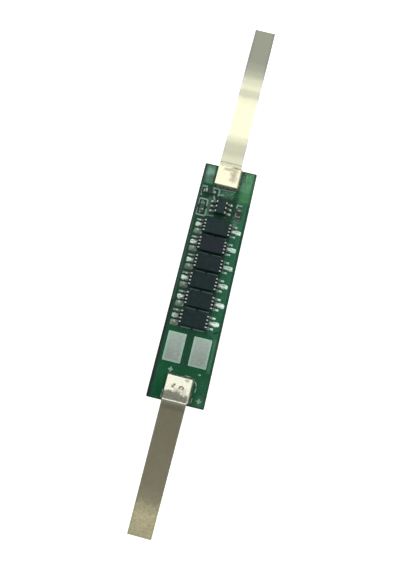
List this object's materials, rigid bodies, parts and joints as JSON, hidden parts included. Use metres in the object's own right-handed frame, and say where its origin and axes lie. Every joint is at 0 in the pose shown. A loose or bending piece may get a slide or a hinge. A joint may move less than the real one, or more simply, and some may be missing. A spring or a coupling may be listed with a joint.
{
  "type": "battery management board",
  "caption": "Slim single-cell lithium protection board with a row of dual transistors, two output pads and a welded nickel strip at each end.",
  "frame": {"origin": "centre of the circuit board's flat underside", "axes": "+Z out of the component side, +Y along the board towards the strip for the cell's negative end, +X across the board"},
  "size_m": [0.0102, 0.1028, 0.0071],
  "materials": {
    "board": "satin green solder mask",
    "tinned_pad": "matt tinned copper",
    "solder": "satin solder with flux haze",
    "solder_heap": "bright solder",
    "block_nickel": "satin nickel",
    "strip_nickel": "rolled nickel, slightly tarnished",
    "package_mould": "matt black moulding compound",
    "lead_tin": "matt tin plating",
    "ceramic": "white alumina",
    "resistor_coat": "black glass coat",
    "capacitor_ceramic": "brown ceramic",
    "cap_tin": "matt tin plating"
  },
  "bodies": {
    "root": {"circuit_board": "board", "output_pad_plus": "tinned_pad", "output_pad_minus": "tinned_pad", "weld_solder_plus": "solder", "weld_solder_minus": "solder", "weld_block_plus": "block_nickel", "weld_block_minus": "block_nickel", "nickel_strip_plus": "strip_nickel", "nickel_strip_minus": "strip_nickel", "protection_chip_body": "package_mould", "protection_chip_leads": "lead_tin", "protection_chip_solder": "solder", "supply_resistor_body": "ceramic", "supply_resistor_coat": "resistor_coat", "supply_resistor_caps": "cap_tin", "supply_resistor_solder": "solder", "sense_resistor_body": "ceramic", "sense_resistor_coat": "resistor_coat", "sense_resistor_caps": "cap_tin", "sense_resistor_solder": "solder", "supply_capacitor_body": "capacitor_ceramic", "supply_capacitor_caps": "cap_tin", "supply_capacitor_solder": "solder", "transistor_1_body": "package_mould", "transistor_1_leads": "lead_tin", "transistor_1_solder": "solder", "source_solder_left_1": "solder_heap", "source_solder_right_1": "solder_heap", "transistor_2_body": "package_mould", "transistor_2_leads": "lead_tin", "transistor_2_solder": "solder", "source_solder_left_2": "solder_heap", "source_solder_right_2": "solder_heap", "transistor_3_body": "package_mould", "transistor_3_leads": "lead_tin", "transistor_3_solder": "solder", "source_solder_left_3": "solder_heap", "source_solder_right_3": "solder_heap", "transistor_4_body": "package_mould", "transistor_4_leads": "lead_tin", "transistor_4_solder": "solder", "source_solder_left_4": "solder_heap", "source_solder_right_4": "solder_heap", "transistor_5_body": "package_mould", "transistor_5_leads": "lead_tin", "transistor_5_solder": "solder", "source_solder_left_5": "solder_heap", "source_solder_right_5": "solder_heap", "transistor_6_body": "package_mould", "transistor_6_leads": "lead_tin", "transistor_6_solder": "solder", "source_solder_left_6": "solder_heap", "source_solder_right_6": "solder_heap"}
  },
  "joints": []
}
